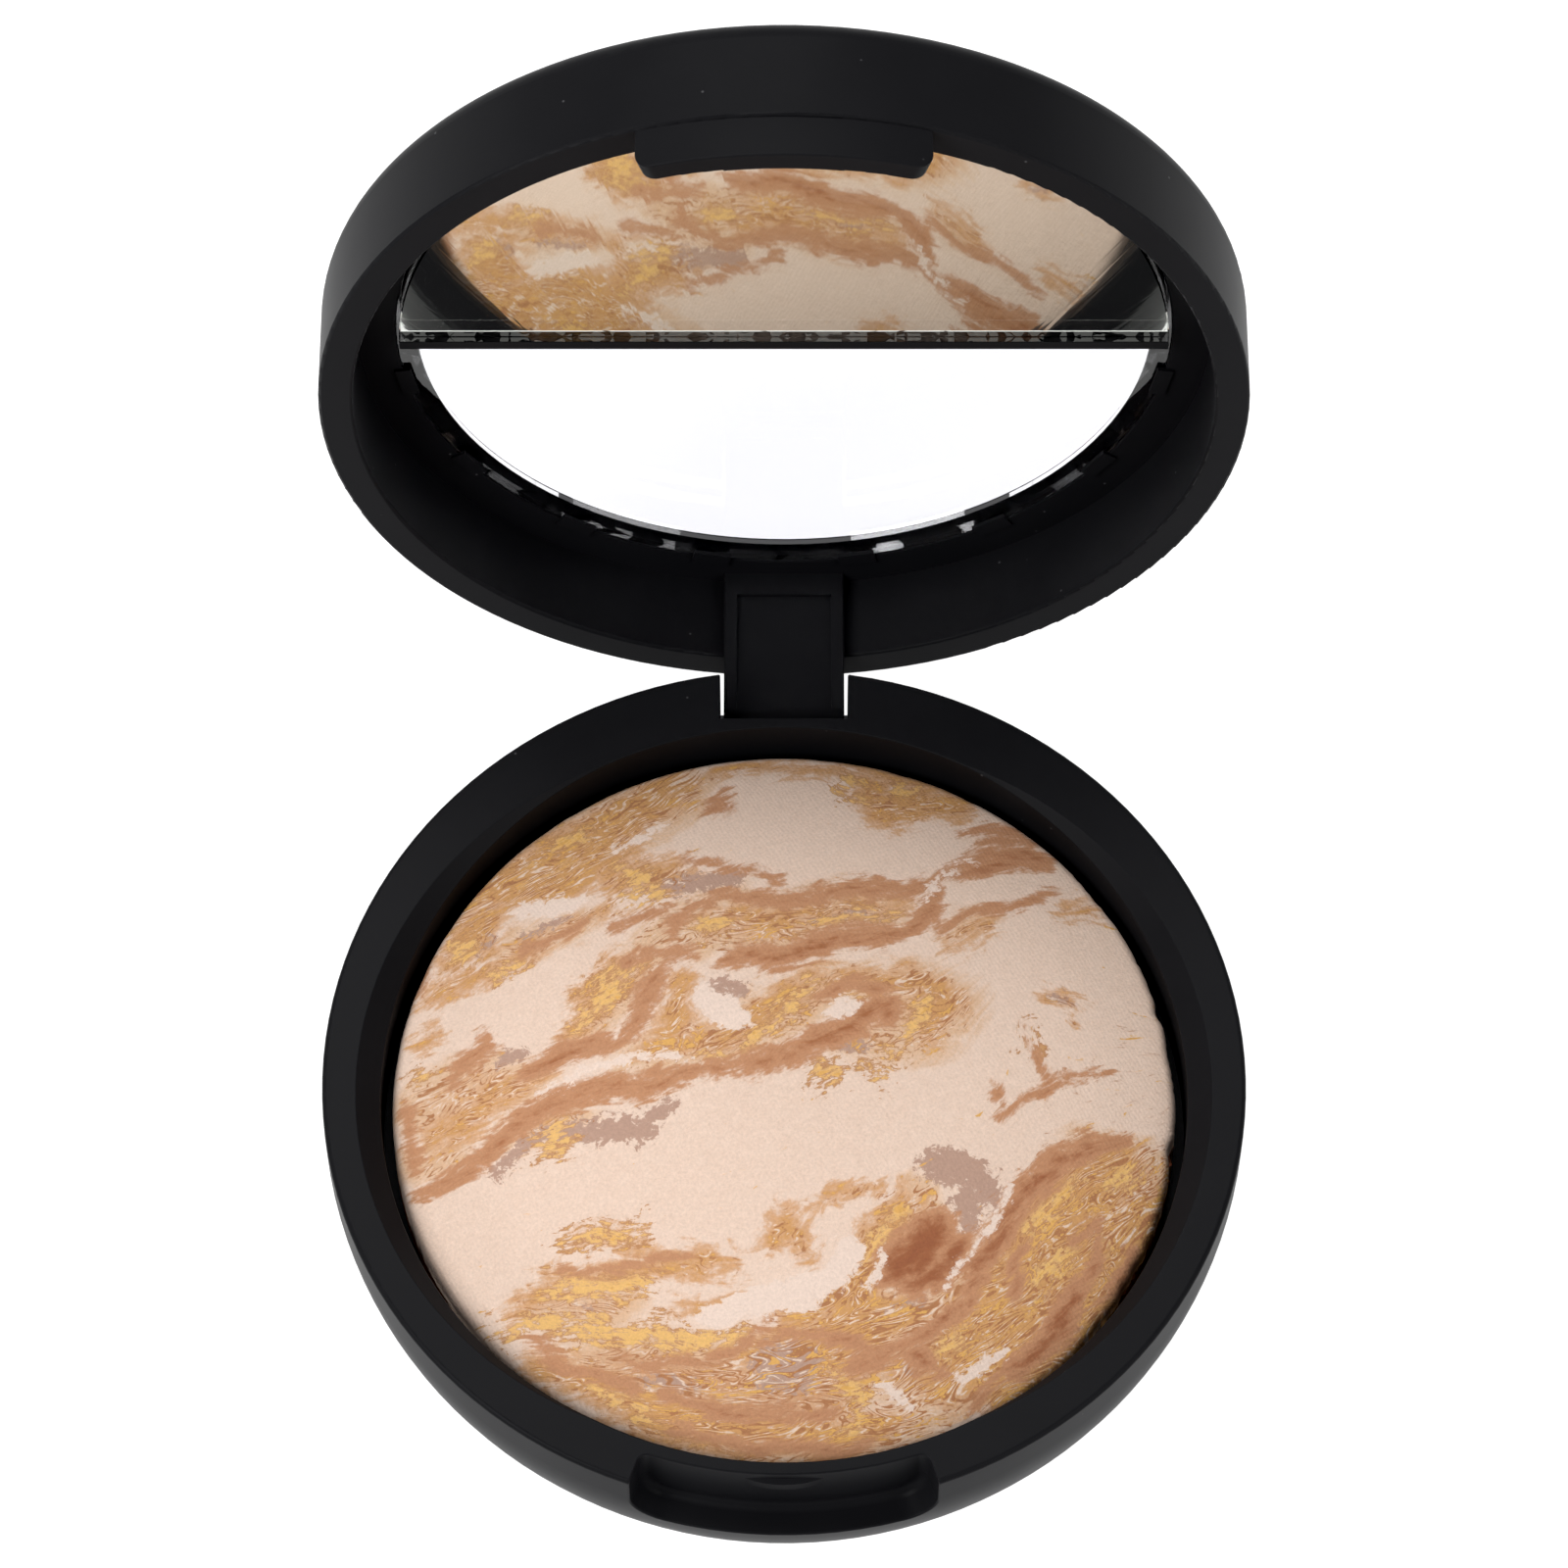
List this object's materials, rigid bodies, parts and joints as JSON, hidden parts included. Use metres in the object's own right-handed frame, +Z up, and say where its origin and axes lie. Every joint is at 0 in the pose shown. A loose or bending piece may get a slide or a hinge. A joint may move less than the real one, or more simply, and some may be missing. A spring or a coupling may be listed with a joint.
{
  "type": "powder compact",
  "caption": "Round hinged makeup compact with a domed baked powder, a clear window in its lid and a half-round mirror.",
  "frame": {"origin": "centre of the flat underside", "axes": "+Z up, +Y towards the hinge at the back, finger notch at -Y, +X to the right along the hinge axis"},
  "size_m": [0.076, 0.0986, 0.0782],
  "materials": {
    "black_plastic": "satin black moulded ABS",
    "label_paper": "plain matt label",
    "pin_steel": "drawn wire",
    "glue": "dried adhesive",
    "terracotta": "unglazed fired clay",
    "pressed_powder": "marbled baked powder with a fabric-pressed face",
    "clear_plastic": "clear moulded polystyrene",
    "mirror_glass": "polished float glass",
    "silvering": "silvered back",
    "tape": "double-sided foam tape"
  },
  "bodies": {
    "base": {"base_shell": "black_plastic", "bottom_plate": "black_plastic", "bottom_label": "label_paper", "hinge_pin": "pin_steel", "tile_glue": "glue", "terracotta_tile": "terracotta", "baked_powder": "pressed_powder"},
    "lid": {"lid_frame": "black_plastic", "lid_window": "clear_plastic", "mirror_tray": "black_plastic", "mirror_glass": "mirror_glass", "mirror_silver": "silvering", "mirror_tape": "tape"}
  },
  "joints": [
    {"name": "lid_hinge", "type": "hinge", "parent": "base", "child": "lid", "pos_m": [0, 0.03594, 0.0053], "axis": [1, 0, 0], "range_deg": [0, 96.7]}
  ]
}
